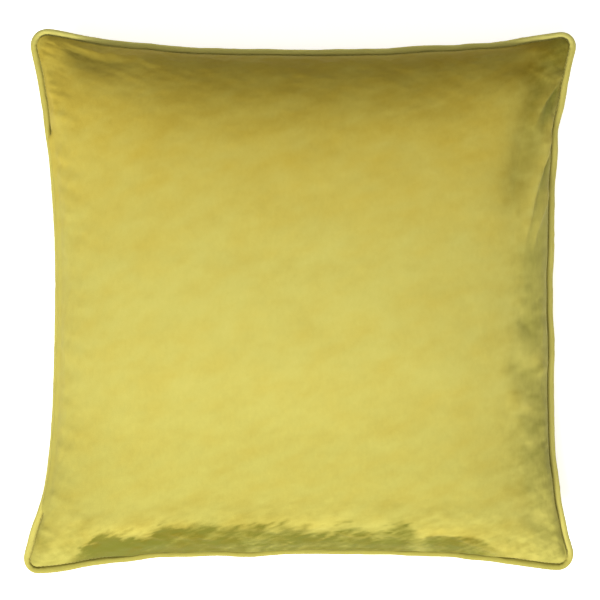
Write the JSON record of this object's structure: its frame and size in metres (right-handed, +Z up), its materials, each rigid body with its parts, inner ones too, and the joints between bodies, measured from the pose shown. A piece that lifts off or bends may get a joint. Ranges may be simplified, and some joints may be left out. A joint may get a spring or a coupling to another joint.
{
  "type": "throw pillow",
  "caption": "Square scatter cushion with flared corners: a zipped velvet cover with a piped edge over a filled pad, lying on its back.",
  "frame": {"origin": "centre of the bounding box, on the surface that the pillow's back lies on", "axes": "+Z up, out of the pillow's face; +Y towards its top edge; +X towards its right edge, seen from the face. The zip is on the -X edge."},
  "size_m": [0.4508, 0.4425, 0.13],
  "materials": {
    "velvet": "satin",
    "cotton_cord": "matte",
    "thread": "satin",
    "pad_casing": "matte",
    "pad_fibre": "matte",
    "label_satin": "satin",
    "zip_tape": "matte",
    "zip_teeth": "gloss",
    "slider_metal": "satin"
  },
  "bodies": {
    "cushion": {"front_panel": "velvet", "back_panel": "velvet", "piping_cover": "velvet", "piping_cord": "cotton_cord", "seam_thread": "thread", "pad_casing_front": "pad_casing", "pad_casing_back": "pad_casing", "pad_filling": "pad_fibre", "pad_closing_stitch": "thread", "care_label": "label_satin", "zip_tape_upper": "zip_tape", "zip_tape_lower": "zip_tape", "zip_teeth_upper": "zip_teeth", "zip_teeth_lower": "zip_teeth", "zip_top_stop_upper": "zip_teeth", "zip_top_stop_lower": "zip_teeth", "zip_bottom_stop": "zip_teeth", "zip_end_tack_top": "thread", "zip_end_tack_bottom": "thread", "zip_hem_stitch": "thread"},
    "slider": {"zip_slider": "slider_metal"},
    "pull_tab": {"zip_pull_tab": "slider_metal"}
  },
  "joints": [
    {"name": "zip_slide", "type": "slide", "parent": "cushion", "child": "slider", "axis": [0, -1, 0], "range_m": [0, 0.27], "deforming": ["zip_teeth_upper", "zip_teeth_lower"]},
    {"name": "pull_tab_hinge", "type": "hinge", "parent": "slider", "child": "pull_tab", "pos_m": [-0.1991, 0.126, 0.048], "axis": [0, 0, -1], "range_deg": [0, 155]}
  ]
}
